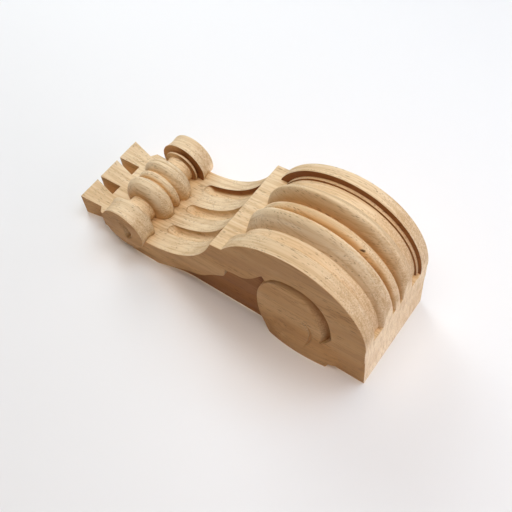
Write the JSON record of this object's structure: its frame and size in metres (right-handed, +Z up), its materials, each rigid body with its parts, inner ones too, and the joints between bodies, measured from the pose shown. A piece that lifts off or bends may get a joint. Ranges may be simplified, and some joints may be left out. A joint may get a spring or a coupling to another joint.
{
  "type": "wooden corbel bracket",
  "caption": "Carved wooden corbel with a round lobed head, a fluted hollow waist, a small cross scroll and a notched tail, for a wall under a shelf or mantel.",
  "frame": {"origin": "centre of the flat back that lies on the wall", "axes": "+Z up to the flat top, +Y out of the flat back into the wall, -Y towards the carved front, X across the width"},
  "size_m": [0.0776, 0.0972, 0.23],
  "materials": {
    "wood": "sanded, unfinished light oak"
  },
  "bodies": {
    "root": {"corbel": "wood"}
  },
  "joints": []
}
